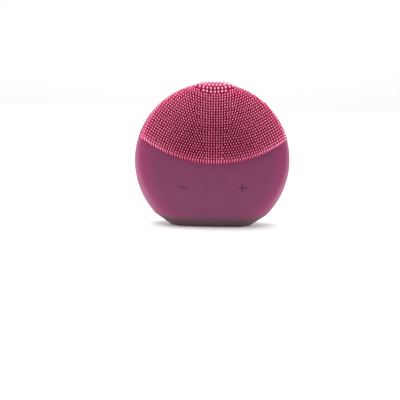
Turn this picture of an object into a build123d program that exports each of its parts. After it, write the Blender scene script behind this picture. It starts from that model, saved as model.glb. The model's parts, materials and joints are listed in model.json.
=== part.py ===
from build123d import *

import math
import os

# Round silicone facial cleansing brush, in millimetres.
# The front faces -Y, +X is to the right seen from the front, +Z is up and the flat foot stands on z = 0.

# body form
OUTLINE_R = 41.0  # round outline seen from the front
CENTRE_Z = 34.0  # height of the outline's centre over the foot
RIM_R = 16.0  # roundness of the rim from front to rear
ROUND_R = 3.6  # rounding where the faces meet the rim
FRONT_DEPTH = 14.8  # fullest depth of the front face from the mid plane
REAR_DEPTH = 13.8
FACE_R = 160.0  # crown of the lower faces
FULLEST_Z = 21.0  # height where the faces stand out most
SHOULDER_Z = 33.7  # height where the faces start to lean back
FRONT_LEAN = 16.0  # degrees
REAR_LEAN = 9.0
LEANING_FACE_R = 300.0  # sideways crown of the leaning faces

# foot
CREASE_Z = 6.0  # height of the crease over the flat foot
FOOT_WIDE = 0.71  # width of the flat foot as a share of the body at the crease
FOOT_DEEP = 0.54

REACH = 60.0  # from the origin to well clear of the object, for cutting blocks and bars

# walls
SKIN = 2.2
WALL = 1.6
CAPSULE_ROUND_R = 1.6
CAPSULE_FLOOR_Z = 7.5
CAVITY_TOP_Z = 64.0
SPLIT_Y = 1.0  # plane where the two shells meet
GASKET_IN = 0.5  # from the capsule's outside to the gasket
GASKET_WIDE = 0.6
GASKET_DEEP = 0.9

# bristle fields
ROW_CENTRE_Z = 96.7  # the rows of bristles are arcs about this height
FINE_FIELD_R = 63.0
FINE_LONG = 3.6
THICK_FIELD_R = 13.3
THICK_CENTRE_Z = 82.4
FIELD_GAP = 0.6
CROWN_LONG = 1.0  # how far the tips stand over the rim
REAR_FIELD_R = 58.0
REAR_LONG = 2.6

# keys: name, x, z, radius
KEYS = (("power", 0.0, 24.6, 5.4), ("minus", -15.1, 21.6, 4.2), ("plus", 15.1, 21.6, 4.2))
KEY_GAP = 0.15
KEY_THICK = 1.2
KEY_TRAVEL = 0.35
DISC_R = 2.8
DISC_THICK = 0.3
STEM_R = 1.2
STEM_GAP = 0.25
MARK_LONG = 4.6
MARK_WIDE = 0.55
MARK_DEEP = 0.25

# switches on the board
BOARD_Y = -6.5  # front face of the circuit board
BOARD_THICK = 1.0
BOARD_WIDE = 48.0
BOARD_HIGH = 26.0
BOARD_Z = 24.0
BOARD_ROUND_R = 1.5
POST_X = 20.5
POST_Z = (14.5, 33.5)
POST_R = 1.9
SWITCH_WIDE = 4.5
SWITCH_HIGH = 1.8
SWITCH_CHAMFER = 0.3
PLUNGER_R = 1.1
PLUNGER_GAP = 0.05
PLUNGER_OUT = 0.7
PLUNGER_IN = 0.7
WELL_SPARE = 0.1  # room left under a plunger that is pressed home

# small screws: shank radius, head radius, head height
SCREW = (0.95, 1.8, 1.2)
SCREW_GAP = 0.03
SCREW_SLOT_WIDE = 0.4
SCREW_SLOT_SHARE = 0.6  # of the head's radius
BOARD_SCREW_LONG = 3.4
BOSS_R = 2.6
BOSSES = ((28.0, 20.0), (25.0, 48.0))  # x, z, mirrored to the left
BOSS_SCREW_SEAT = 1.7  # how deep the screw head's seat lies under the capsule's outside
HEAD_GAP = 0.2
BOSS_SCREW_END_Y = -2.6

# light
LED_Z = 31.4
LED_SIZE = (2.0, 0.9, 1.6)
LED_CHAMFER = 0.2
GUIDE_GAP = 0.1  # between the lamp and the light guide
GUIDE_R = 1.1

# battery
BATTERY_SIZE = (34.0, 6.0, 19.0)
BATTERY_Y = 3.5
BATTERY_Z = 31.5
CELL_ROUND_R = 1.2
PAD_INSET = (2.0, 1.0)  # from the cell's ends and from its top and bottom
PAD_THICK = 1.0
TRAY_WALL = 1.2
TRAY_GAP = 0.3
TRAY_DEEP = 3.5

# motor
MOTOR_Z = 49.5
MOTOR_Y = 0.6
MOTOR_R = 4.0
MOTOR_X = (-9.0, 4.0)
END_CAP_LONG = 1.2
END_CAP_FLOOR = 0.3
CAN_LAP = 1.0  # how far the can's hollow runs past the end cap's plane
SHAFT_R = 0.5
SHAFT_GAP = 0.03
SHAFT_START = 0.5  # from the outside of the end cap
SHAFT_END_X = 10.5
WEIGHT_R = 3.4
WEIGHT_X = (5.2, 10.0)
WEIGHT_HUB_R = 1.3
CAN_WALL = 0.4
CAN_FRONT = 0.9
MAGNET_IN_R = 2.9
MAGNET_X = (-6.6, 1.8)
MAGNET_APART = 2.4
ARMATURE_R = 2.6
ARMATURE_X = (-5.8, 1.2)
SLOT_WIDE = 0.7
SLOT_DEEP = 1.5
SLEEVE_R = 5.0
SLEEVE_X = (-7.0, 2.0)
CRADLE_X = (-6.0, 1.0)
CRADLE_HALF = 6.6
CRADLE_MOUTH_Y = -1.4

# charging socket in the rear
PORT_Z = 14.0
PORT_R = 1.3
PORT_DEEP = 7.0
SOCKET_NOSE_R = 2.6
SOCKET_NOSE_SINK = 0.5
SOCKET_WIDE = 6.0
SOCKET_BODY_Y = (2.2, 9.2)
POCKET_GAP = 0.1
POCKET_WALL = 1.2
POCKET_Y = 4.6
SEAL_R = 3.4
SEAL_THICK = 0.8

# wires
WIRE_R = 0.45
WIRE_BEND_R = 1.1
BATTERY_WIRE_X = (-16.2, -13.8)
BATTERY_WIRE_RISE = 2.8  # over the cell
BATTERY_WIRE_IN = 1.3  # behind the cell's front
MOTOR_WIRES = ((-10.4, -1.8), (-11.8, 1.8))  # x, height over the motor's axis
MOTOR_WIRE_LIFT = 2.2  # off the board
MOTOR_WIRE_END_Z = 35.4
CHARGE_WIRE_X = (-1.6, 1.6)
CONNECTOR_X = (-17.5, -12.5)
CONNECTOR_Z = (32.6, 36.6)
CONNECTOR_THICK = 2.8

# parts on the rear face of the board: x, z, width, thickness, height
CHIP = (6.0, 26.0, 7.0, 1.1, 7.0)
SMALL_PARTS = ((-4.5, 20.0, 4.0, 2.0, 4.0), (-4.5, 28.0, 3.2, 1.2, 1.6), (12.5, 28.5, 1.6, 0.9, 0.9),
               (12.5, 26.0, 1.6, 0.9, 0.9), (12.5, 23.5, 1.6, 0.9, 0.9), (-11.0, 23.0, 2.9, 1.1, 1.5))


def surface_y(side, x, z, inset=0.0):
    """Depth coordinate of the body's front (side -1) or rear (side 1) face."""
    depth, lean = (FRONT_DEPTH, FRONT_LEAN) if side < 0 else (REAR_DEPTH, REAR_LEAN)
    crown = depth - FACE_R + math.sqrt((FACE_R - inset) ** 2 - x**2 - (z - FULLEST_Z) ** 2)
    angle = math.radians(lean)
    along = math.sqrt((LEANING_FACE_R - inset) ** 2 - x**2) - LEANING_FACE_R
    leaning = shoulder_depth(depth) + (along - (z - SHOULDER_Z) * math.sin(angle)) / math.cos(angle)
    return side * min(crown, leaning)


def shoulder_depth(depth):
    return depth - FACE_R + math.sqrt(FACE_R**2 - (SHOULDER_Z - FULLEST_Z) ** 2)


def pin(x, z, y0, y1, r):
    """Round bar along Y."""
    return Pos(x, (y0 + y1) / 2, z) * Rot(90, 0, 0) * Cylinder(r, abs(y1 - y0))


def rod(y, z, x0, x1, r):
    """Round bar along X."""
    return Pos((x0 + x1) / 2, y, z) * Rot(0, 90, 0) * Cylinder(r, abs(x1 - x0))


def block(x0, x1, y0, y1, z0, z1):
    size = (abs(x1 - x0), abs(y1 - y0), abs(z1 - z0))
    return Pos((x0 + x1) / 2, (y0 + y1) / 2, (z0 + z1) / 2) * Box(*size)


def above(z):
    return block(-REACH, REACH, -REACH, REACH, z, 2 * REACH)


def form(inset, crown=0.0):
    """The body's form set in by inset all round, with sharp meetings; crown lets the rim grow."""
    ring_r = OUTLINE_R - RIM_R
    barrel = Cylinder(ring_r, REACH) + Torus(ring_r, RIM_R - inset + crown)
    body = Pos(0, 0, CENTRE_Z) * Rot(90, 0, 0) * Rot(0, 0, -90) * barrel
    for side, depth, lean in ((-1, FRONT_DEPTH, FRONT_LEAN), (1, REAR_DEPTH, REAR_LEAN)):
        ball = Rot(0, 0, 90 * side) * Sphere(FACE_R - inset)
        body = body & Pos(0, side * (depth - FACE_R), FULLEST_Z) * ball
        roller = Rot(0, 0, 90 * side) * Cylinder(LEANING_FACE_R - inset, 4 * REACH)
        roller = Rot(side * lean, 0, 0) * Pos(0, -side * LEANING_FACE_R, 0) * roller
        body = body & Pos(0, side * shoulder_depth(depth), SHOULDER_Z) * roller
    return body


def rounded(inset, round_r):
    """The form with every meeting of faces rounded."""
    return offset(form(inset + round_r), round_r, kind=Kind.ARC)


def outer_body():
    upper = rounded(0, ROUND_R) & above(CREASE_Z)
    crease = upper.faces().sort_by(Axis.Z)[0]
    flat = Pos(0, 0, -CREASE_Z) * scale(crease, (FOOT_WIDE, FOOT_DEEP, 1))
    return upper + loft([flat, crease], ruled=True)


def capsule_body():
    return rounded(SKIN, CAPSULE_ROUND_R) & above(CAPSULE_FLOOR_Z)


def cavity_body():
    room = block(-REACH, REACH, -REACH, REACH, CAPSULE_FLOOR_Z + WALL, CAVITY_TOP_Z)
    return form(SKIN + WALL) & room


def field_zone(z, r):
    return pin(0, z, -REACH, REACH, r)


def half(side):
    """Everything in front of (side -1) or behind (side 1) the plane where the shells meet."""
    return block(-REACH, REACH, SPLIT_Y, side * REACH, -REACH, 2 * REACH)


def bristle_fields(body):
    """Closed outer shapes of the three fields of bristles, standing on the body."""
    fine_zone = field_zone(ROW_CENTRE_Z, FINE_FIELD_R)
    rear_zone = field_zone(ROW_CENTRE_Z, REAR_FIELD_R)
    front = ((form(-FINE_LONG, CROWN_LONG - FINE_LONG) & half(-1)) - body) & fine_zone
    rear = ((form(-REAR_LONG, CROWN_LONG - REAR_LONG) & half(1)) - body) & rear_zone
    thick = front & field_zone(THICK_CENTRE_Z, THICK_FIELD_R)
    fine = front - field_zone(THICK_CENTRE_Z, THICK_FIELD_R + FIELD_GAP)
    return fine, thick, rear


def mid_wall():
    """The form halfway through the shells' wall, where bosses and ribs end."""
    return form(SKIN + WALL / 2) & above(CAPSULE_FLOOR_Z + WALL / 2)


def shells(capsule, cavity, lining):
    """Front and rear halves of the hard capsule inside the skin, with the gasket between them."""
    gasket_outer = form(SKIN + GASKET_IN) & above(CAPSULE_FLOOR_Z + GASKET_IN)
    gasket_inner = form(SKIN + GASKET_IN + GASKET_WIDE) & above(CAPSULE_FLOOR_Z + GASKET_IN + GASKET_WIDE)
    slab = block(-REACH, REACH, SPLIT_Y - GASKET_DEEP / 2, SPLIT_Y + GASKET_DEEP / 2, 0, 2 * REACH)
    gasket = (gasket_outer - gasket_inner) & slab
    hollow = capsule - cavity - gasket
    front = hollow & half(-1)
    rear = hollow & half(1)

    shank_r, head_r, _ = SCREW
    screws = []
    for side_x in (-1, 1):
        for boss_x, boss_z in BOSSES:
            x = side_x * boss_x
            seat_y = surface_y(1, boss_x, boss_z, SKIN) - BOSS_SCREW_SEAT
            front += pin(x, boss_z, -REACH, SPLIT_Y, BOSS_R) & lining
            front -= pin(x, boss_z, BOSS_SCREW_END_Y - HEAD_GAP, SPLIT_Y, shank_r + SCREW_GAP)
            rear += pin(x, boss_z, SPLIT_Y, REACH, BOSS_R) & lining
            rear -= pin(x, boss_z, SPLIT_Y, REACH, shank_r + SCREW_GAP)
            rear -= pin(x, boss_z, seat_y, REACH, head_r + HEAD_GAP)
            screws.append(screw(x, boss_z, seat_y, seat_y - BOSS_SCREW_END_Y, -1))
    return front, rear, gasket, screws


def screw(x, z, seat_y, long, way):
    """Pan head screw along Y whose shank points forward (way -1) or rearward (way 1)."""
    shank_r, head_r, head_high = SCREW
    head = pin(x, z, seat_y, seat_y - way * head_high, head_r)
    top, slot_floor = seat_y - way * head_high, seat_y - way * head_high / 2
    half_slot = SCREW_SLOT_WIDE / 2
    slot = block(x - head_r, x + head_r, top, slot_floor, z - half_slot, z + half_slot)
    slot += block(x - half_slot, x + half_slot, top, slot_floor, z - head_r, z + head_r)
    slot = slot & pin(x, z, seat_y, top, head_r * SCREW_SLOT_SHARE)
    return head + pin(x, z, seat_y, seat_y + way * long, shank_r) - slot


def key(body, x, z, r):
    """One plain silicone key, level with the skin, and the hard actuator behind it."""
    face = surface_y(-1, x, z)
    back = face + KEY_THICK
    pad = pin(x, z, -REACH, back, r) & body
    switch_top = BOARD_Y - SWITCH_HIGH - PLUNGER_OUT
    actuator = pin(x, z, back, back + DISC_THICK, DISC_R) + pin(x, z, back, switch_top, STEM_R)
    return pad, actuator


def mark(x, z, face, upright):
    """Groove of a minus sign, or of a plus sign when upright is true."""
    floor = face + MARK_DEEP
    long, wide = MARK_LONG / 2, MARK_WIDE / 2
    groove = block(x - long, x + long, -REACH, floor, z - wide, z + wide)
    if upright:
        groove += block(x - wide, x + wide, -REACH, floor, z - long, z + long)
    return groove


def switch(x, z):
    """Housing and plunger of a push switch on the board's front face."""
    top = BOARD_Y - SWITCH_HIGH
    wide = SWITCH_WIDE / 2
    housing = block(x - wide, x + wide, top, BOARD_Y, z - wide, z + wide)
    housing = chamfer(housing.edges().group_by(Axis.Y)[0], SWITCH_CHAMFER)
    well = top + PLUNGER_IN + KEY_TRAVEL + WELL_SPARE
    housing -= pin(x, z, -REACH, well, PLUNGER_R + PLUNGER_GAP)
    plunger = pin(x, z, top - PLUNGER_OUT, top + PLUNGER_IN, PLUNGER_R)
    return housing, plunger


def board():
    """Circuit board, upright behind the front shell, with its screws, chip and small parts."""
    rear = BOARD_Y + BOARD_THICK
    low, top = BOARD_Z - BOARD_HIGH / 2, BOARD_Z + BOARD_HIGH / 2
    plate = block(-BOARD_WIDE / 2, BOARD_WIDE / 2, BOARD_Y, rear, low, top)
    plate = fillet(plate.edges().filter_by(Axis.Y), BOARD_ROUND_R)
    screws = []
    for x, z in post_places():
        plate -= pin(x, z, BOARD_Y, rear, SCREW[0] + 2 * SCREW_GAP)
        screws.append(screw(x, z, rear, BOARD_SCREW_LONG, -1))
    chip = on_board(*CHIP)
    small = [on_board(*place) for place in SMALL_PARTS]
    return plate, screws, chip, small


def post_places():
    return [(side * POST_X, z) for side in (-1, 1) for z in POST_Z]


def on_board(x, z, wide, thick, high):
    rear = BOARD_Y + BOARD_THICK
    return block(x - wide / 2, x + wide / 2, rear, rear + thick, z - high / 2, z + high / 2)


def light():
    """Indicator lamp on the board's front face."""
    wide, thick, high = LED_SIZE
    lamp = block(-wide / 2, wide / 2, BOARD_Y - thick, BOARD_Y, LED_Z - high / 2, LED_Z + high / 2)
    return chamfer(lamp.edges().group_by(Axis.Y)[0], LED_CHAMFER)


def battery():
    """Cell, the foam pad behind it and the tray that the rear shell holds them in."""
    wide, thick, high = BATTERY_SIZE
    front, back = BATTERY_Y - thick / 2, BATTERY_Y + thick / 2
    low, top = BATTERY_Z - high / 2, BATTERY_Z + high / 2
    cell = block(-wide / 2, wide / 2, front, back, low, top)
    cell = fillet(cell.edges().filter_by(Axis.X), CELL_ROUND_R)
    inset_x, inset_z = PAD_INSET
    pad = block(inset_x - wide / 2, wide / 2 - inset_x, back, back + PAD_THICK, low + inset_z, top - inset_z)
    out = TRAY_GAP + TRAY_WALL
    tray = block(-wide / 2 - out, wide / 2 + out, back - TRAY_DEEP, REACH, low - out, top + out)
    room = wide / 2 + TRAY_GAP
    tray -= block(-room, room, front, back + PAD_THICK, low - TRAY_GAP, top + TRAY_GAP)
    return cell, pad, tray


def bar(x0, x1, r):
    """Round bar along the motor's axis."""
    return rod(MOTOR_Y, MOTOR_Z, x0, x1, r)


def motor():
    """Small motor lying along X, with its turning armature, shaft and off-centre weight."""
    start, end = MOTOR_X
    cap_end = start + END_CAP_LONG
    can = bar(cap_end, end, MOTOR_R) - bar(cap_end - CAN_LAP, end - CAN_FRONT, MOTOR_R - CAN_WALL)
    can -= bar(0, REACH, SHAFT_R + SHAFT_GAP)
    cap = bar(start, cap_end, MOTOR_R) - bar(start + END_CAP_FLOOR, 0, SHAFT_R + SHAFT_GAP)
    magnets = bar(*MAGNET_X, MOTOR_R - CAN_WALL) - bar(-REACH, REACH, MAGNET_IN_R)
    half_gap = MAGNET_APART / 2
    magnets -= block(-REACH, REACH, -REACH, REACH, MOTOR_Z - half_gap, MOTOR_Z + half_gap)
    shaft = bar(start + SHAFT_START, SHAFT_END_X, SHAFT_R)
    armature = bar(*ARMATURE_X, ARMATURE_R) - shaft
    middle = Pos(0, MOTOR_Y, MOTOR_Z)
    for turn in (0, 120, 240):
        slot = block(-REACH, REACH, -SLOT_WIDE / 2, SLOT_WIDE / 2, ARMATURE_R - SLOT_DEEP, REACH)
        armature -= middle * Rot(turn, 0, 0) * slot
    weight = bar(*WEIGHT_X, WEIGHT_R) - above(MOTOR_Z)
    weight = weight + bar(*WEIGHT_X, WEIGHT_HUB_R) - shaft
    sleeve = bar(*SLEEVE_X, SLEEVE_R) - bar(-REACH, REACH, MOTOR_R)
    return can, cap, magnets, armature, shaft, weight, sleeve


def cradle(cavity):
    """Saddle on the rear shell that the motor's rubber sleeve snaps into."""
    saddle = block(*CRADLE_X, CRADLE_MOUTH_Y, REACH, MOTOR_Z - CRADLE_HALF, MOTOR_Z + CRADLE_HALF)
    return (saddle & cavity) - bar(-REACH, REACH, SLEEVE_R)


def charging(capsule):
    """Socket with its blind round bore, the seal round its nose and the pocket that holds it."""
    half_wide = SOCKET_WIDE / 2
    body_front, body_rear = SOCKET_BODY_Y
    mouth = surface_y(1, 0, PORT_Z) - SOCKET_NOSE_SINK
    socket = block(-half_wide, half_wide, body_front, body_rear, PORT_Z - half_wide, PORT_Z + half_wide)
    socket += pin(0, PORT_Z, body_front, mouth, SOCKET_NOSE_R)
    socket -= pin(0, PORT_Z, mouth - PORT_DEEP, REACH, PORT_R)
    out = half_wide + POCKET_GAP
    wall = out + POCKET_WALL
    pocket = block(-wall, wall, POCKET_Y, REACH, PORT_Z - wall, PORT_Z + wall)
    pocket -= block(-out, out, -REACH, body_rear, PORT_Z - out, PORT_Z + out)
    seal_end = surface_y(1, 0, PORT_Z, SKIN)
    seal = pin(0, PORT_Z, seal_end - SEAL_THICK, REACH, SEAL_R) & capsule
    seal -= pin(0, PORT_Z, 0, REACH, SOCKET_NOSE_R)
    return socket, seal, pocket


def wire(*points):
    """Insulated wire of straight runs and round bends."""
    if len(points) > 2:
        path = FilletPolyline(*points, radius=WIRE_BEND_R)
    else:
        path = Line(*points)
    start = Plane(origin=path @ 0, z_dir=path % 0)
    return sweep(start * Circle(WIRE_R), path=path)


def wires():
    """Leads of the battery, the motor and the charging socket, each a pair."""
    rear = BOARD_Y + BOARD_THICK
    _, thick, high = BATTERY_SIZE
    cell_top = BATTERY_Z + high / 2
    top = cell_top + BATTERY_WIRE_RISE
    plug_y = rear + CONNECTOR_THICK / 2
    lead_y = BATTERY_Y - thick / 2 + BATTERY_WIRE_IN
    battery_leads = [
        wire((x, plug_y, CONNECTOR_Z[1]), (x, plug_y, top), (x, lead_y, top), (x, lead_y, cell_top))
        for x in BATTERY_WIRE_X
    ]
    out, end_z = rear + MOTOR_WIRE_LIFT, MOTOR_WIRE_END_Z
    motor_leads = []
    for x, rise in MOTOR_WIRES:
        z = MOTOR_Z + rise
        route = (MOTOR_X[0], MOTOR_Y, z), (x, MOTOR_Y, z), (x, out, z), (x, out, end_z), (x, rear, end_z)
        motor_leads.append(wire(*route))
    charge_leads = [wire((x, rear, PORT_Z), (x, SOCKET_BODY_Y[0], PORT_Z)) for x in CHARGE_WIRE_X]
    return battery_leads, motor_leads, charge_leads


def build():
    body = outer_body()
    capsule = capsule_body()
    cavity = cavity_body()
    sleeve = body - capsule
    fine, thick, rear_field = bristle_fields(body)
    lining = mid_wall()
    front, rear, gasket, shell_screws = shells(capsule, cavity, lining)

    nodes = {}
    for name, x, z, r in KEYS:
        pad, actuator = key(body, x, z, r)
        if name != "power":
            pad -= mark(x, z, surface_y(-1, x, z), name == "plus")
        sleeve -= pin(x, z, -REACH, 0, r + KEY_GAP)
        front -= pin(x, z, -REACH, 0, STEM_R + STEM_GAP)
        housing, plunger = switch(x, z)
        nodes[name + "_button"] = pad
        nodes[name + "_actuator"] = actuator
        nodes[name + "_switch"] = housing
        nodes[name + "_switch_plunger"] = plunger

    plate, board_screws, chip, small = board()
    for x, z in post_places():
        front += pin(x, z, -REACH, BOARD_Y, POST_R) & lining
        hole_end = BOARD_Y + BOARD_THICK - BOARD_SCREW_LONG - HEAD_GAP
        front -= pin(x, z, hole_end, 0, SCREW[0] + SCREW_GAP)

    lamp = light()
    guide = pin(0, LED_Z, -REACH, BOARD_Y - LED_SIZE[1] - GUIDE_GAP, GUIDE_R) & capsule
    front -= pin(0, LED_Z, -REACH, 0, GUIDE_R)

    cell, pad, tray = battery()
    socket, seal, pocket = charging(capsule)
    rear += tray & lining
    rear += pocket & lining
    rear -= pin(0, PORT_Z, 0, REACH, SOCKET_NOSE_R)
    rear -= seal
    sleeve -= pin(0, PORT_Z, 0, REACH, SOCKET_NOSE_R)

    can, cap, magnets, armature, shaft, weight, motor_sleeve = motor()
    battery_leads, motor_leads, charge_leads = wires()
    board_rear = BOARD_Y + BOARD_THICK
    connector = block(*CONNECTOR_X, board_rear, board_rear + CONNECTOR_THICK, *CONNECTOR_Z)

    nodes.update(
        silicone_sleeve=sleeve,
        fine_bristle_field=fine,
        thick_bristle_field=thick,
        rear_bristle_field=rear_field,
        front_shell=front,
        rear_shell=rear,
        shell_gasket=gasket,
        shell_screws=shell_screws,
        circuit_board=plate,
        board_screws=board_screws,
        control_chip=chip,
        board_components=small,
        indicator_lamp=lamp,
        light_guide=guide,
        battery_cell=cell,
        battery_pad=pad,
        battery_leads=battery_leads,
        battery_connector=connector,
        motor_can=can,
        motor_end_cap=cap,
        motor_magnets=magnets,
        motor_armature=armature,
        motor_shaft=shaft,
        motor_weight=weight,
        motor_sleeve=motor_sleeve,
        motor_cradle=cradle(cavity),
        motor_leads=motor_leads,
        charge_socket=socket,
        socket_seal=seal,
        charge_leads=charge_leads,
    )
    return nodes


os.makedirs("parts", exist_ok=True)
for node, shape in build().items():
    solids = [s for part in (shape if isinstance(shape, list) else [shape]) for s in part.solids()]
    whole = solids[0] if len(solids) == 1 else Compound(children=solids)
    whole.label = node
    export_step(whole, f"parts/{node}.step")
    print(node, len(solids))
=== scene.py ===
import json
import math
import random

import bmesh
import bpy
import numpy as np
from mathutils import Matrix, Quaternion, Vector
from mathutils.bvhtree import BVHTree


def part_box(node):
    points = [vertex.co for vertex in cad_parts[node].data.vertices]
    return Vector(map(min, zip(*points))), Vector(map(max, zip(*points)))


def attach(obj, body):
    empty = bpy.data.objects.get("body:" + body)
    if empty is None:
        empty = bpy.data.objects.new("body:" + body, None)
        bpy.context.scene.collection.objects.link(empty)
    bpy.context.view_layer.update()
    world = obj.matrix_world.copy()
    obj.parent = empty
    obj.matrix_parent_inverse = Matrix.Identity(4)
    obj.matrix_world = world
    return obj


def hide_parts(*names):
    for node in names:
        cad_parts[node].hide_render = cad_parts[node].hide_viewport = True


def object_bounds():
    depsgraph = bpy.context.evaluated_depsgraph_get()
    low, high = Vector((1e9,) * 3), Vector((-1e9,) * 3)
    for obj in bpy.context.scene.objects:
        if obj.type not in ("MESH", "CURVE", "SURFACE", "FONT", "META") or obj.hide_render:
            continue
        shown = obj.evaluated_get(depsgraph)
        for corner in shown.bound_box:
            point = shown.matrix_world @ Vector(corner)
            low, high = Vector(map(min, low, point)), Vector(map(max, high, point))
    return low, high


# Facial cleansing brush: a round silicone body with fine bristles on its front,
# thicker ones at the crown and a coarse field on its back.
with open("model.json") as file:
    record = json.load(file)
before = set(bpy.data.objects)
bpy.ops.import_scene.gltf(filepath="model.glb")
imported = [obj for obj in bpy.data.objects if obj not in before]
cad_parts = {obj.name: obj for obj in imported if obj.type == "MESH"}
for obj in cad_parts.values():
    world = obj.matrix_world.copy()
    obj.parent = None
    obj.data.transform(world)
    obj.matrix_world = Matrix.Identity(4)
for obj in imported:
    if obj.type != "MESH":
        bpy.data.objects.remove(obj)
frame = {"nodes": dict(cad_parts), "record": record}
mm = 0.001
clear = 0.1               # metres; where rays towards the skin start, well outside it
cadLow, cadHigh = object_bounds()
print("frame loaded:", len(frame["nodes"]), "parts")


def ease(low, high, value):
    share = min(1.0, max(0.0, (value - low) / (high - low)))
    return share * share * (3 - 2 * share)


def addNode(tree, kind, links=(), **settings):
    # links are (socket to fill, output that fills it); settings go on properties or sockets
    node = tree.nodes.new(kind)
    for name, value in settings.items():
        if hasattr(node, name):
            setattr(node, name, value)
        else:
            node.inputs[name.replace("_", " ")].default_value = value
    for socket, output in links:
        tree.links.new(output, node.inputs[socket])
    return node


def objectCoords(tree):
    return addNode(tree, "ShaderNodeTexCoord").outputs["Object"]


def softNoise(tree, where, scale, detail=3.0, roughness=0.55):
    return addNode(tree, "ShaderNodeTexNoise", [("Vector", where)],
                   Scale=scale, Detail=detail, Roughness=roughness).outputs["Fac"]


def spread(tree, value, low, high, start=0.3, end=0.7):
    return addNode(tree, "ShaderNodeMapRange", [("Value", value)], From_Min=start, From_Max=end,
                   To_Min=low, To_Max=high).outputs["Result"]


def mixTint(tree, share, first, second):
    node = addNode(tree, "ShaderNodeMix", [("Factor", share)], data_type="RGBA")
    for socket, tint in ((6, first), (7, second)):
        if isinstance(tint, tuple):
            node.inputs[socket].default_value = (*tint, 1)
        else:
            tree.links.new(tint, node.inputs[socket])
    return node.outputs[2]


def bump(tree, height, depth, strength=1.0, under=None):
    links = [("Height", height)] + ([("Normal", under)] if under else [])
    return addNode(tree, "ShaderNodeBump", links, Distance=depth, Strength=strength).outputs["Normal"]


def newMaterial(name):
    material = bpy.data.materials.new(name)
    material.use_nodes = True
    tree = material.node_tree
    return material, tree, tree.nodes["Principled BSDF"]


cameraSetup = {
    "lensMm": 63.0,
    "sideways": -0.0183,      # from the middle of the body, along the width
    "back": -0.3694,          # in front of the middle
    "height": 0.0697,         # above the floor
    "turnDeg": 1.9,           # to the right
    "tiltDeg": 8.72,          # downwards
    "rollDeg": 1.29,
    "sensorMm": 36.0, "clip": (0.01, 20.0),
}


def makeCamera(setup):
    data = bpy.data.cameras.new("camera")
    data.lens = setup["lensMm"]
    data.sensor_width = setup["sensorMm"]
    data.clip_start, data.clip_end = setup["clip"]
    camera = bpy.data.objects.new("camera", data)
    bpy.context.scene.collection.objects.link(camera)
    turn, tilt = math.radians(setup["turnDeg"]), math.radians(setup["tiltDeg"])
    aim = Vector((math.sin(turn) * math.cos(tilt), math.cos(turn) * math.cos(tilt), -math.sin(tilt)))
    camera.location = (setup["sideways"], setup["back"], setup["height"])
    camera.rotation_mode = "QUATERNION"
    roll = Quaternion((0, 0, 1), math.radians(setup["rollDeg"]))
    camera.rotation_quaternion = aim.to_track_quat("-Z", "Y") @ roll
    bpy.context.scene.camera = camera


lightSetup = {
    "topBox": {"place": (-0.05, 0.1, 0.6), "size": (0.5, 0.3), "power": 3.5},
    "frontBox": {"place": (-0.15, -0.55, 0.75), "size": (0.3, 0.2), "power": 2.4},
    "skyDim": 0.22,           # how bright the room is low in front of the object
    "skyBright": 1.0,         # and above and behind it
    "skyAim": (0.0, 0.6, 0.8),
    "skyFrom": -0.3, "skyTo": 0.6,          # along that aim, where the room starts and stops brightening
}


def makeLights(setup):
    middle = Vector((0, 0, (cadLow.z + cadHigh.z) / 2))
    for name in ("topBox", "frontBox"):
        box = setup[name]
        data = bpy.data.lights.new(name, "AREA")
        data.shape = "RECTANGLE"
        data.size, data.size_y = box["size"]
        data.energy = box["power"]
        lamp = bpy.data.objects.new(name, data)
        bpy.context.scene.collection.objects.link(lamp)
        lamp.location = box["place"]
        lamp.rotation_mode = "QUATERNION"
        lamp.rotation_quaternion = (middle - lamp.location).to_track_quat("-Z", "Y")


def makeSky(setup):
    world = bpy.data.worlds.new("studioSky")
    bpy.context.scene.world = world
    world.use_nodes = True
    tree = world.node_tree
    where = addNode(tree, "ShaderNodeTexCoord").outputs["Generated"]
    along = addNode(tree, "ShaderNodeVectorMath", operation="DOT_PRODUCT")
    along.inputs[1].default_value = setup["skyAim"]
    tree.links.new(where, along.inputs[0])
    bright = spread(tree, along.outputs["Value"], setup["skyDim"], setup["skyBright"],
                    setup["skyFrom"], setup["skyTo"])
    tree.links.new(bright, tree.nodes["Background"].inputs["Strength"])
    tree.nodes["Background"].inputs["Color"].default_value = (1, 1, 1, 1)


floorSetup = {
    "radius": 3.0, "sides": 96, "tint": (0.9, 0.9, 0.905),
    "grainMm": 1.5, "rough": (0.55, 0.7), "glow": 0.22,
}


def makeFloor(setup):
    mesh = bpy.data.meshes.new("floor")
    turns = [2 * math.pi * i / setup["sides"] for i in range(setup["sides"])]
    rim = [(setup["radius"] * math.cos(t), setup["radius"] * math.sin(t), 0) for t in turns]
    mesh.from_pydata(rim, [], [list(range(setup["sides"]))])
    floor = bpy.data.objects.new("floor", mesh)
    bpy.context.scene.collection.objects.link(floor)
    material, tree, shader = newMaterial("paleFloor")
    grain = softNoise(tree, objectCoords(tree), 1 / (setup["grainMm"] * mm))
    shader.inputs["Base Color"].default_value = (*setup["tint"], 1)
    shader.inputs["Emission Color"].default_value = (1, 1, 1, 1)
    shader.inputs["Emission Strength"].default_value = setup["glow"]
    tree.links.new(spread(tree, grain, *setup["rough"]), shader.inputs["Roughness"])
    mesh.materials.append(material)


makeCamera(cameraSetup)
makeLights(lightSetup)
makeSky(lightSetup)
makeFloor(floorSetup)
bpy.context.scene.view_settings.view_transform = "Standard"
print("camera, lights and floor ready")


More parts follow.
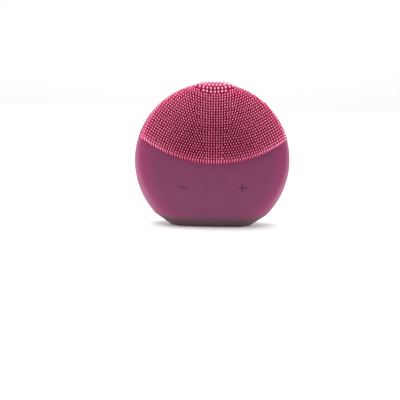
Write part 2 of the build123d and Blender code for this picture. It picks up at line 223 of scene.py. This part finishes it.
siliconeLooks = {
    # painted light and shade: the rim tint is a pink glow painted where the skin thins towards its edge,
    # the tints between are what shows under the bristles with the red light there painted in, and the foot
    # tint is painted shade below the crease
    "skin": {
        "deep": (0.166, 0.025, 0.082), "pale": (0.186, 0.03, 0.092), "foot": (0.108, 0.035, 0.054),
        "rim": (0.3, 0.034, 0.125),
        "redLightBetweenBristles": (0.32, 0.001, 0.04), "redLightBetweenAtRim": (0.56, 0.008, 0.11),
        "cloudMm": 9.0, "grainMm": 0.35, "grainDepthMm": 0.012,
        "rough": (0.44, 0.56), "scatter": 0.3, "scatterMm": 1.6, "sheen": 0.08, "specular": 0.32,
    },
    # painted shade: the dark tint of the bars laid in the grooves of the minus and plus signs
    "mark": {
        "deep": (0.095, 0.015, 0.046), "pale": (0.115, 0.02, 0.056),
        "cloudMm": 1.5, "grainMm": 0.2, "grainDepthMm": 0.01,
        "rough": (0.5, 0.65), "scatter": 0.1, "scatterMm": 0.5, "sheen": 0.0, "specular": 0.3,
    },
    "bristle": {
        "deep": (0.31, 0.001, 0.045), "deepGlowAtRim": (0.6, 0.008, 0.13),
        "pale": (0.9, 0.24, 0.42), "paleGlowAtRim": (1.0, 0.47, 0.66),
        "cloudMm": 7.0, "cloudDepth": 0.15, "grainMm": 0.3, "grainDepthMm": 0.004,
        "rough": (0.4, 0.5), "scatter": 0.15, "scatterMm": 0.6, "sheen": 0.0, "specular": 0.1,
    },
}


zones = {
    "rowCentreZMm": 96.7,     # the fields' edges are arcs about this height
    "frontEdgeMm": 62.9, "rearEdgeMm": 57.8, "fadeMm": 0.4, "turnMm": 0.1,
    "creaseZMm": 6.0, "creaseFadeMm": 0.15,
    "rimFrom": 0.45, "rimTo": 0.93, "bareFrom": 0.965, "bareTo": 0.985,   # shares of the outline's radius
    "glowFrom": 0.72, "glowTo": 0.99,                 # where a pink glow is painted on the skin towards its edge
}
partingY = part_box("fine_bristle_field")[1].y      # the mould's parting plane
outlineR = cadHigh.x
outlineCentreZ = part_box("silicone_sleeve")[1].z - outlineR


def awayFrom(tree, where, height):
    # distance in the outline's plane from the point of the midline at this height
    flat = addNode(tree, "ShaderNodeVectorMath", [(0, where)], operation="MULTIPLY")
    flat.inputs[1].default_value = (1, 0, 1)
    away = addNode(tree, "ShaderNodeVectorMath", [(0, flat.outputs[0])], operation="DISTANCE")
    away.inputs[1].default_value = (0, 0, height)
    return away.outputs["Value"]


def nearRim(tree, where, start="rimFrom", end="rimTo"):
    away = awayFrom(tree, where, outlineCentreZ)
    return spread(tree, away, 0, 1, zones[start] * outlineR, zones[end] * outlineR)


def underBristles(tree, where):
    # 1 on the skin that bristles stand on, where the deep red of the light between them is painted on
    away = awayFrom(tree, where, zones["rowCentreZMm"] * mm)
    depth = addNode(tree, "ShaderNodeSeparateXYZ", [("Vector", where)]).outputs["Y"]
    edge = spread(tree, depth, zones["frontEdgeMm"] * mm, zones["rearEdgeMm"] * mm,
                  partingY - zones["turnMm"] * mm, partingY + zones["turnMm"] * mm)
    inside = addNode(tree, "ShaderNodeMath", [(0, edge), (1, away)], operation="SUBTRACT")
    return spread(tree, inside.outputs[0], 0, 1, 0, zones["fadeMm"] * mm)


def footShadeMask(tree, where):
    # painted shade: 1 below the crease, where the foot's tint is darkened to stand in for the shade on the
    # down-facing foot
    height = addNode(tree, "ShaderNodeSeparateXYZ", [("Vector", where)]).outputs["Z"]
    crease, fade = zones["creaseZMm"] * mm, zones["creaseFadeMm"] * mm
    return spread(tree, height, 1, 0, crease - fade, crease)


def skinTint(tree, where, tint, look):
    # the tints of the sleeve's zones over its own: a painted pink glow towards the rim, painted red light
    # between the bristles and painted shade on the foot
    tint = mixTint(tree, nearRim(tree, where, "glowFrom", "glowTo"), tint, look["rim"])
    between = mixTint(tree, nearRim(tree, where), look["redLightBetweenBristles"], look["redLightBetweenAtRim"])
    between = mixTint(tree, nearRim(tree, where, "bareFrom", "bareTo"), between, tint)
    tint = mixTint(tree, underBristles(tree, where), tint, between)
    return mixTint(tree, footShadeMask(tree, where), tint, look["foot"])


def bristleTint(tree, where, clouds, look):
    # root 0 to tip 1, kept on each bristle's points: painted shade darkens the tint below the tip and a
    # painted highlight makes the tip pale
    share = addNode(tree, "ShaderNodeAttribute", attribute_name="tipLitShare").outputs["Fac"]
    # painted light: the bristles' tints brighten towards the rim, standing in for light glowing through
    # the thin edge
    deep = mixTint(tree, nearRim(tree, where), look["deep"], look["deepGlowAtRim"])
    pale = mixTint(tree, nearRim(tree, where), look["pale"], look["paleGlowAtRim"])
    light = mixTint(tree, share, deep, pale)
    return mixTint(tree, spread(tree, clouds, 0.0, look["cloudDepth"]), light, deep)


scatterSpread = (1.0, 0.25, 0.4)      # light travels furthest through silicone in red
sheenTint = (1.0, 0.75, 0.85, 1)


def makeSilicone(name, look):
    material, tree, shader = newMaterial(name)
    where = objectCoords(tree)
    clouds = softNoise(tree, where, 1 / (look["cloudMm"] * mm), 4.0)
    grain = softNoise(tree, where, 1 / (look["grainMm"] * mm), 2.0)
    if "deepGlowAtRim" in look:
        tint = bristleTint(tree, where, clouds, look)
    else:
        tint = mixTint(tree, spread(tree, clouds, 0.0, 1.0), look["deep"], look["pale"])
    if "foot" in look:
        tint = skinTint(tree, where, tint, look)
    tree.links.new(tint, shader.inputs["Base Color"])
    tree.links.new(spread(tree, grain, *look["rough"]), shader.inputs["Roughness"])
    tree.links.new(bump(tree, grain, look["grainDepthMm"] * mm), shader.inputs["Normal"])
    shader.inputs["Subsurface Weight"].default_value = look["scatter"]
    shader.inputs["Subsurface Radius"].default_value = scatterSpread
    shader.inputs["Subsurface Scale"].default_value = look["scatterMm"] * mm
    shader.inputs["Specular IOR Level"].default_value = look["specular"]
    shader.inputs["Sheen Weight"].default_value = look["sheen"]
    shader.inputs["Sheen Tint"].default_value = sheenTint
    return material


skinMaterial = makeSilicone("skinSilicone", siliconeLooks["skin"])
markMaterial = makeSilicone("markSilicone", siliconeLooks["mark"])
bristleMaterial = makeSilicone("bristleSilicone", siliconeLooks["bristle"])


def skinTree():
    mesh = frame["nodes"]["silicone_sleeve"].data
    points = [v.co.copy() for v in mesh.vertices]
    return BVHTree.FromPolygons(points, [list(p.vertices) for p in mesh.polygons])


skin = skinTree()


def hitAlongDepth(x, z, side):
    # side is -1 for the front and +1 for the back; gives the skin's point and outward normal
    place, normal, _, _ = skin.ray_cast(Vector((x, side * clear, z)), Vector((0, -side, 0)))
    if place is not None and normal.y * side < 0:
        normal = -normal
    return place, normal


def hitRound(x, angle, middleZ):
    # looks in towards the line (x, 0, middleZ); angle 0 is the front and 90 degrees the top
    out = Vector((0, -math.cos(angle), math.sin(angle)))
    start = Vector((x, 0, middleZ)) + out * clear
    place, normal, _, _ = skin.ray_cast(start, -out)
    if place is not None and normal.dot(out) < 0:
        normal = -normal
    return place, normal


bristleForm = {
    "footWider": (1.18, 1.05), "footHalfway": 0.4,      # the fillet at the root
    "stemShares": (0.35, 0.7, 1.0), "domeDeg": (24, 46, 68),
}


def bristleRings(look):
    # distances along a bristle, in shares of its length, and the radius at each
    form = bristleForm
    rootR, tipR, long = look["rootMm"], look["tipMm"], look["longMm"]
    flare = look["flareMm"] / long
    domeStart = 1 - tipR / long
    first, second = form["footWider"]
    stem = [(0.0, rootR * first), (flare * form["footHalfway"], rootR * second), (flare, rootR)]
    stem += [(flare + (domeStart - flare) * s, rootR + (tipR - rootR) * s) for s in form["stemShares"]]
    dome = [(domeStart + tipR / long * math.sin(math.radians(d)), tipR * math.cos(math.radians(d)))
            for d in form["domeDeg"]]
    return stem + dome


def bristleFaces(rings, around):
    # one bristle's faces: its sides, the fan at the tip and the closed root
    faces = []
    for r in range(rings - 1):
        for k in range(around):
            n = (k + 1) % around
            faces.append([r * around + k, r * around + n, (r + 1) * around + n, (r + 1) * around + k])
    last, tip = (rings - 1) * around, rings * around
    faces += [[last + k, last + (k + 1) % around, tip] for k in range(around)]
    faces.append(list(range(around))[::-1])
    return faces


def buildBristles(name, roots, look, node):
    # roots: list of (point on the skin, direction, length in metres, power, bright); the power says how
    # quickly the painted shade darkens the tint below the tip, and bright how pale the painted highlight
    # on the tip is
    rings, around = bristleRings(look), look["sides"]
    shares = np.array([r[0] for r in rings])
    radii = np.array([r[1] for r in rings]) * mm
    turns = np.arange(around) * 2 * math.pi / around
    circle = np.stack([np.cos(turns), np.sin(turns)], 1)
    perBristle = len(rings) * around + 1
    points = np.zeros((len(roots), perBristle, 3))
    tipLitShare = np.zeros((len(roots), perBristle), np.float32)
    for i, (place, aim, long, power, bright) in enumerate(roots):
        side = aim.orthogonal().normalized()
        other = aim.cross(side)
        basis = np.array([side, other])
        flat = circle @ basis
        heights = (shares * long)[:, None, None]
        ring = np.array(place) + np.array(aim) * heights + flat[None] * radii[:, None, None]
        points[i, :-1] = ring.reshape(-1, 3)
        points[i, -1] = np.array(place + aim * long)
        tipLitShare[i, :-1] = np.repeat(shares ** power * bright, around)
        tipLitShare[i, -1] = bright
    single = bristleFaces(len(rings), around)
    faces = [[v + i * perBristle for v in f] for i in range(len(roots)) for f in single]
    mesh = bpy.data.meshes.new(name)
    mesh.from_pydata(points.reshape(-1, 3).tolist(), [], faces)
    mesh.polygons.foreach_set("use_smooth", [True] * len(mesh.polygons))
    kept = mesh.attributes.new("tipLitShare", "FLOAT", "POINT")
    kept.data.foreach_set("value", tipLitShare.ravel())
    mesh.materials.append(bristleMaterial)
    piece = bpy.data.objects.new(name, mesh)
    bpy.context.scene.collection.objects.link(piece)
    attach(piece, "body")
    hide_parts(node)
    print(f"{name}: {len(roots)} bristles")


def leaning(place, normal, look, side):
    # bristles lean up and a little outwards on the face; round the rim they are shorter and darker with
    # painted shade, and point more to the front or back and along the skin's own normal
    rimShare = ease(look["rimFrom"], look["rimTo"], math.hypot(normal.x, normal.z))
    lift = math.radians(look["liftDeg"])
    fan = math.radians(look["fanDeg"]) * place.x / cadHigh.x
    aim = Vector((math.sin(fan) * math.cos(lift), side * math.cos(fan) * math.cos(lift), math.sin(lift)))
    aim = aim.lerp(Vector((0, side, 0)), look["flatRim"] * rimShare)
    turned = aim.lerp(normal, look["turnFace"] + (look["turnRim"] - look["turnFace"]) * rimShare)
    turned += Vector([random.gauss(0, look["jitter"]) for _ in range(3)])
    long = look["longMm"] + (look["rimLongMm"] - look["longMm"]) * rimShare
    long *= 1 - look["sideShort"] * min(1.0, abs(place.x) / (look["sideMm"] * mm)) ** 2
    long *= 1 + random.gauss(0, look["jitter"])
    return turned.normalized(), long * mm, 1 - look["dimRim"] * rimShare ** 4


openPerRow = 0.25         # how much less open each row inwards is
leastSlope = 0.35         # keeps a strongly leaning bristle's root from sinking too deep


def rooted(place, normal, look, side, row=9):
    # the outer rows get light from the open side, so they darken less below their tips
    aim, long, bright = leaning(place, normal, look, side)
    power = look["tipPower"] * min(1.0, look["openShare"] + openPerRow * row)
    slope = max(leastSlope, aim.dot(normal))
    sink = (look["sinkMm"] + look["rootMm"] * math.sqrt(1 - slope * slope) / slope) * mm
    return place - aim * sink, aim, long + sink, power, bright


def spaced(hits, pitch, start=0.0):
    # walks along the found points and keeps one at every pitch of real length
    kept, travelled, due = [], 0.0, start
    for before, here in zip(hits, hits[1:]):
        step = (here[0] - before[0]).length
        while travelled + step >= due and step > 0:
            share = (due - travelled) / step
            kept.append((before[0].lerp(here[0], share), before[1].lerp(here[1], share).normalized()))
            due += pitch
        travelled += step
    return kept


fineLook = {
    "rowCentreZMm": 96.7, "firstRowMm": 62.75, "pitchMm": 1.32,
    "columnCentreMm": (31.0, 19.1), "columnRMm": (30.0, 90.0),      # arcs of the side columns
    "borderMm": 5.0, "borderZMm": 41.5, "borderSlope": 0.26,        # between middle and side columns
    "longMm": 3.7, "rimLongMm": 0.8, "rootMm": 0.36, "tipMm": 0.29, "flareMm": 0.25, "sides": 12,
    "liftDeg": 32, "fanDeg": 9, "turnFace": 0.0, "turnRim": 0.1, "flatRim": 0.7, "dimRim": 0.5,
    "sideMm": 40.0, "sideShort": 0.0,
    "rimFrom": 0.45, "rimTo": 0.95, "tipPower": 4.5, "openShare": 0.2,
    "jitter": 0.012, "sinkMm": 0.25, "fromPartingMm": 3.4, "gapToThickMm": 1.3,
}
thickLook = {
    "zoneCentreZMm": 82.4, "zoneRMm": 13.65, "firstRowMm": 13.1,
    "pitchMm": 1.9, "rowMm": 1.85, "rowBendMm": 18.0, "columns": 8,
    "sweepMiddleZMm": 60.0, "sweepFromDeg": -20.0, "sweepStepDeg": 0.14, "sweepSteps": 900,
    "longMm": 3.4, "rimLongMm": 1.5, "rootMm": 0.72, "tipMm": 0.56, "flareMm": 0.25, "sides": 14,
    "liftDeg": 20, "fanDeg": 6, "turnFace": 0.0, "turnRim": 0.5, "flatRim": 0.0, "dimRim": 0.0,
    "sideMm": 14.0, "sideShort": 0.55,
    "rimFrom": 0.6, "rimTo": 1.0, "tipPower": 2.5, "openShare": 0.5,
    "jitter": 0.01, "sinkMm": 0.25, "fromPartingMm": 1.2,
}
rearLook = {
    "rowCentreZMm": 96.7, "firstRowMm": 57.0, "pitchMm": 2.6,
    "longMm": 2.6, "rimLongMm": 1.3, "rootMm": 0.8, "tipMm": 0.6, "flareMm": 0.25, "sides": 14,
    "liftDeg": 14, "fanDeg": 7, "turnFace": 0.3, "turnRim": 0.1, "flatRim": 0.6, "dimRim": 0.5,
    "sideMm": 40.0, "sideShort": 0.0,
    "rimFrom": 0.45, "rimTo": 1.0, "tipPower": 2.5, "openShare": 0.4,
    "jitter": 0.01, "sinkMm": 0.25, "fromPartingMm": 3.6,
}


def inThickZone(place, look, margin):
    return math.hypot(place.x, place.z - look["zoneCentreZMm"] * mm) < (look["zoneRMm"] + margin) * mm


def arcHits(look, row, side, sign, stepMm=0.1):
    # the skin along one row, from the middle outwards to the rim
    radius = (look["firstRowMm"] - row * look["pitchMm"]) * mm
    hits = []
    reach = 0.0
    while reach < outlineR:
        x = sign * reach
        z = look["rowCentreZMm"] * mm - math.sqrt(max(0.0, radius * radius - x * x))
        if radius <= reach or math.hypot(x, z - outlineCentreZ) >= outlineR:
            break
        place, normal = hitAlongDepth(x, z, side)
        if place is None or (place.y - partingY) * side < look["fromPartingMm"] * mm:
            break
        hits.append((place, normal))
        reach += stepMm * mm
    return hits


def onFront(x, z, look):
    # the skin's point there, if it lies inside the outline and far enough from the parting plane
    if math.hypot(x, z - outlineCentreZ) >= outlineR:
        return None
    place, normal = hitAlongDepth(x, z, -1)
    if place is None or place.y > partingY - look["fromPartingMm"] * mm:
        return None
    return place, normal


def crossing(rowR, columnR, sign, look):
    # where a row's arc meets the arc of a side column
    start = Vector((0, look["rowCentreZMm"] * mm))
    centreX, centreZ = look["columnCentreMm"]
    apart = Vector((-sign * centreX * mm, centreZ * mm)) - start
    along = (rowR ** 2 - columnR ** 2 + apart.length_squared) / (2 * apart.length)
    if abs(along) >= rowR:
        return None
    across = Vector((-apart.y, apart.x)).normalized() * math.sqrt(rowR ** 2 - along ** 2)
    points = [start + apart.normalized() * along + across * turn for turn in (1, -1)]
    return max(points, key=lambda p: sign * p.x)


def sidePoints(rowR, sign, look):
    # from the border outwards
    first, last = look["columnRMm"]
    pitch = look["pitchMm"] * mm
    count = int((last - first) * mm / pitch)
    points = [crossing(rowR, first * mm + i * pitch, sign, look) for i in range(count)]
    points = [p for p in points if p and p.y < look["rowCentreZMm"] * mm]
    kept = []
    for p in points:
        border = (look["borderMm"] + look["borderSlope"] * (p.y / mm - look["borderZMm"])) * mm
        if sign * p.x > max(border, 2 * pitch):
            kept.append(p)
    return sorted(kept, key=lambda p: sign * p.x)


def fineRoots(look, thick):
    # rows are arcs; columns are upright in the middle and arcs of their own at the sides
    sectors = {"left": [], "middle": [], "right": []}
    pitch = look["pitchMm"] * mm
    for row in range(int(look["firstRowMm"] / look["pitchMm"])):
        radius = look["firstRowMm"] * mm - row * pitch
        places = [("middle", 0)]
        for sign, name in ((-1, "left"), (1, "right")):
            side = sidePoints(radius, sign, look)
            places += [(name, p.x) for p in side]
            reach = abs(side[0].x) if side else radius
            last = max(1, round(reach / pitch))
            extra = reach - last * pitch                 # what is left over is shared out near the border
            places += [("middle", sign * (i * pitch + extra * (i / last) ** 3)) for i in range(1, last)]
        for name, x in places:
            if abs(x) >= radius:
                continue
            found = onFront(x, look["rowCentreZMm"] * mm - math.sqrt(radius * radius - x * x), look)
            if found and not inThickZone(found[0], thick, look["gapToThickMm"]):
                sectors[name].append((*found, row))
    return sectors


def crownProfile(look):
    # points up the midline of the front and over the crown, as far as the parting plane
    profile = []
    for i in range(look["sweepSteps"]):
        angle = math.radians(look["sweepFromDeg"] + i * look["sweepStepDeg"])
        place, normal = hitRound(0, angle, look["sweepMiddleZMm"] * mm)
        if place is None or place.y > partingY - look["fromPartingMm"] * mm:
            break
        profile.append(place)
    lengths = [0.0]
    for before, here in zip(profile, profile[1:]):
        lengths.append(lengths[-1] + (here - before).length)
    return profile, lengths


def thickRoots(look):
    # rows climb the midline at a fixed pitch, bend down towards their ends and shift in pairs
    profile, lengths = crownProfile(look)
    lowest = (look["zoneCentreZMm"] - look["firstRowMm"]) * mm
    first = min(s for s, p in zip(lengths, profile) if p.z >= lowest)
    found = []
    rows = int((lengths[-1] - first) / (look["rowMm"] * mm)) + 1
    for row in range(rows):
        shift = 0.5 if (row // 2) % 2 else 0.0
        for column in range(-look["columns"], look["columns"] + 1):
            x = (column + shift) * look["pitchMm"] * mm
            due = first + row * look["rowMm"] * mm + x * x / (2 * look["rowBendMm"] * mm)
            if due > lengths[-1]:
                continue
            steps = float(np.interp(due, lengths, range(len(lengths))))
            angle = math.radians(look["sweepFromDeg"]) + math.radians(look["sweepStepDeg"]) * steps
            place, normal = hitRound(x, angle, look["sweepMiddleZMm"] * mm)
            if place is None or place.y > partingY - look["fromPartingMm"] * mm:
                continue
            if inThickZone(place, look, 0):
                found.append((place, normal))
    return found


def rearRoots(look):
    # rows are arcs, and every other one starts half a pitch from the midline
    found = []
    pitch = look["pitchMm"] * mm
    for row in range(int(look["firstRowMm"] / look["pitchMm"])):
        for sign in (-1, 1):
            hits = arcHits(look, row, 1, sign)
            for place, normal in spaced(hits, pitch, 0.5 * (row % 2) * pitch):
                if sign > 0 or abs(place.x) > 0.1 * pitch:      # the midline one only once
                    found.append((place, normal))
    return found


random.seed(7)
sectors = fineRoots(fineLook, thickLook)
for name, found in sectors.items():
    roots = [rooted(p, n, fineLook, -1, row) for p, n, row in found]
    buildBristles("fine_bristles_" + name, roots, fineLook, "fine_bristle_field")
thickOnes = [rooted(p, n, thickLook, -1) for p, n in thickRoots(thickLook)]
buildBristles("thick_bristles", thickOnes, thickLook, "thick_bristle_field")
rearOnes = [rooted(p, n, rearLook, 1) for p, n in rearRoots(rearLook)]
buildBristles("rear_bristles", rearOnes, rearLook, "rear_bristle_field")


stripSharpDeg = 40        # edges sharper than this stay crisp


def buildStrip(name, sections):
    # closed band whose cross-sections are given in order round the loop
    across, count = len(sections[0]), len(sections)
    faces = []
    for i in range(count):
        n = (i + 1) % count
        for k in range(across):
            m = (k + 1) % across
            faces.append([i * across + k, n * across + k, n * across + m, i * across + m])
    mesh = bpy.data.meshes.new(name)
    mesh.from_pydata([tuple(p) for section in sections for p in section], [], faces)
    mesh.polygons.foreach_set("use_smooth", [True] * len(mesh.polygons))
    mesh.set_sharp_from_angle(angle=math.radians(stripSharpDeg))
    mesh.materials.append(skinMaterial)
    piece = bpy.data.objects.new(name, mesh)
    bpy.context.scene.collection.objects.link(piece)
    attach(piece, "body")
    return piece


webLook = {"sides": 120, "lapMm": 0.01, "gapMm": 0.15, "thickMm": 0.4,
           "sunkMm": {"power": 0.13, "minus": 0.012, "plus": 0.012}}


def makeKeyWeb(key, look):
    # thin silicone web that closes the ring round a key, level with the skin
    low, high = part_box(key + "_button")
    x, z, r = (low.x + high.x) / 2, (low.z + high.z) / 2, (high.x - low.x) / 2
    lap, gap, sunk = look["lapMm"] * mm, look["gapMm"] * mm, look["sunkMm"][key] * mm
    sections = []
    for i in range(look["sides"]):
        turn = 2 * math.pi * i / look["sides"]
        out = Vector((math.cos(turn), 0, math.sin(turn)))
        # the skin's level a little outside the ring, carried inwards along its slope
        near, far = (hitAlongDepth(x + out.x * a, z + out.z * a, -1)[0].y
                     for a in (r + 2 * gap, r + 4 * gap))
        slope = (far - near) / (2 * gap)
        levels = [(a, near - slope * (r + 2 * gap - a) + sunk) for a in (r - lap, r + gap + lap)]
        tops = [Vector((x + out.x * a, y, z + out.z * a)) for a, y in levels]
        deep = Vector((0, look["thickMm"] * mm, 0))
        sections.append([tops[0], tops[1], tops[1] + deep, tops[0] + deep])
    buildStrip(key + "_key_web", sections)


markLook = {"longMm": 4.5, "wideMm": 0.42, "sunkMm": 0.14, "thickMm": 0.14, "barStepMm": 0.01}


def makeMark(key, look):
    # dark flat bar over the groove of the minus or plus sign, painted shade standing in for the groove's
    # own shade; its outer end stands proud of the curved key
    low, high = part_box(key + "_button")
    x, z = (low.x + high.x) / 2, (low.z + high.z) / 2
    long, wide = look["longMm"] * mm / 2, look["wideMm"] * mm / 2
    bars = [(long, wide)] + ([(wide, long)] if key == "plus" else [])
    made = bmesh.new()
    for i, (halfX, halfZ) in enumerate(bars):
        face = low.y + (look["sunkMm"] + look["barStepMm"] * i) * mm
        ends = [(-halfX, -halfZ), (halfX, -halfZ), (halfX, halfZ), (-halfX, halfZ)]
        front = [made.verts.new((x + a, face, z + b)) for a, b in ends]
        back = [made.verts.new((x + a, face + look["thickMm"] * mm, z + b)) for a, b in ends]
        made.faces.new(front)
        made.faces.new(back[::-1])
        for k in range(4):
            n = (k + 1) % 4
            made.faces.new((front[n], front[k], back[k], back[n]))
    mesh = bpy.data.meshes.new(key + "_mark")
    made.to_mesh(mesh)
    made.free()
    mesh.materials.append(markMaterial)
    piece = bpy.data.objects.new(key + "_mark", mesh)
    bpy.context.scene.collection.objects.link(piece)
    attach(piece, key + "_key")


partingLook = {"sides": 360, "wideMm": 0.36, "highMm": 0.07, "sunkMm": 0.3}


def insideSleeve(point):
    # the line fades out where the sleeve is at its widest and under the foot
    point.x = max(cadLow.x, min(cadHigh.x, point.x))
    point.z = max(cadLow.z, point.z)
    return point


def makePartingLine(look):
    # the faint raised line that the mould leaves round the rim
    sections = []
    middle = Vector((0, partingY, outlineCentreZ))
    for i in range(look["sides"]):
        turn = 2 * math.pi * i / look["sides"]
        out = Vector((math.sin(turn), 0, -math.cos(turn)))
        place = skin.ray_cast(middle + out * clear, -out)[0]
        wide, sunk = Vector((0, look["wideMm"] * mm / 2, 0)), -look["sunkMm"] * mm * out
        high = out * look["highMm"] * mm
        section = [place - wide + sunk, place - wide, place - wide * 0.5 + high,
                   place + wide * 0.5 + high, place + wide, place + wide + sunk]
        sections.append([insideSleeve(point) for point in section])
    buildStrip("parting_line", sections)


for key in ("power", "minus", "plus"):
    makeKeyWeb(key, webLook)
for key in ("minus", "plus"):
    makeMark(key, markLook)
makePartingLine(partingLook)
print("key webs and parting line made")


finishes = {
    "white_plastic": {"tints": ((0.78, 0.77, 0.74), (0.84, 0.83, 0.80)),
                      "rough": (0.45, 0.55), "grainMm": 0.25},
    "black_plastic": {"tints": ((0.02, 0.02, 0.022), (0.035, 0.035, 0.04)),
                      "rough": (0.4, 0.55), "grainMm": 0.2},
    "seal_rubber": {"tints": ((0.05, 0.05, 0.055), (0.08, 0.08, 0.085)),
                    "rough": (0.6, 0.75), "grainMm": 0.15},
    "zinc_steel": {"tints": ((0.55, 0.55, 0.57), (0.66, 0.66, 0.67)),
                   "rough": (0.25, 0.42), "grainMm": 0.1, "metal": 1.0},
    "board_green": {"tints": ((0.012, 0.12, 0.04), (0.02, 0.19, 0.07)),
                    "rough": (0.3, 0.4), "grainMm": 0.6},
    "component_ceramic": {"tints": ((0.26, 0.19, 0.12), (0.4, 0.31, 0.2)),
                          "rough": (0.35, 0.5), "grainMm": 0.3},
    "lamp_plastic": {"tints": ((0.8, 0.76, 0.5), (0.9, 0.86, 0.62)),
                     "rough": (0.2, 0.3), "grainMm": 0.4},
    "clear_plastic": {"tints": ((0.88, 0.9, 0.92), (0.94, 0.95, 0.97)),
                      "rough": (0.1, 0.2), "grainMm": 0.5},
    "battery_wrap": {"tints": ((0.52, 0.54, 0.57), (0.66, 0.68, 0.71)),
                     "rough": (0.22, 0.4), "grainMm": 1.2, "metal": 0.8},
    "foam": {"tints": ((0.02, 0.02, 0.022), (0.05, 0.05, 0.055)), "rough": (0.85, 0.98), "grainMm": 0.3},
    "wire_plastic": {"tints": ((0.38, 0.025, 0.02), (0.5, 0.04, 0.03)),
                     "rough": (0.35, 0.5), "grainMm": 0.3},
    "magnet_iron": {"tints": ((0.05, 0.05, 0.055), (0.1, 0.1, 0.11)),
                    "rough": (0.55, 0.75), "grainMm": 0.15},
    "copper_winding": {"tints": ((0.45, 0.16, 0.06), (0.68, 0.28, 0.12)),
                       "rough": (0.25, 0.4), "grainMm": 0.3, "metal": 0.9},
    "brass_weight": {"tints": ((0.6, 0.42, 0.15), (0.74, 0.55, 0.24)),
                     "rough": (0.2, 0.36), "grainMm": 0.12, "metal": 1.0},
}


finishBumpMm = 0.01


def makeFinish(name, look):
    material, tree, shader = newMaterial(name)
    where = objectCoords(tree)
    grain = softNoise(tree, where, 1 / (look["grainMm"] * mm))
    first, second = look["tints"]
    tree.links.new(mixTint(tree, spread(tree, grain, 0, 1), first, second), shader.inputs["Base Color"])
    tree.links.new(spread(tree, grain, *look["rough"]), shader.inputs["Roughness"])
    tree.links.new(bump(tree, grain, finishBumpMm * mm), shader.inputs["Normal"])
    shader.inputs["Metallic"].default_value = look.get("metal", 0.0)
    return material


madeFinishes = {slot: makeFinish(slot, look) for slot, look in finishes.items()}
madeFinishes["skin_silicone"] = madeFinishes["key_silicone"] = skinMaterial
madeFinishes["bristle_silicone"] = bristleMaterial
slotOf = {part["node"]: part["material_slot"] for part in frame["record"]["subparts"]}

for node, thing in frame["nodes"].items():
    slot = slotOf[node]
    thing.data.materials.clear()
    thing.data.materials.append(madeFinishes[slot])
print("finishes on every part")
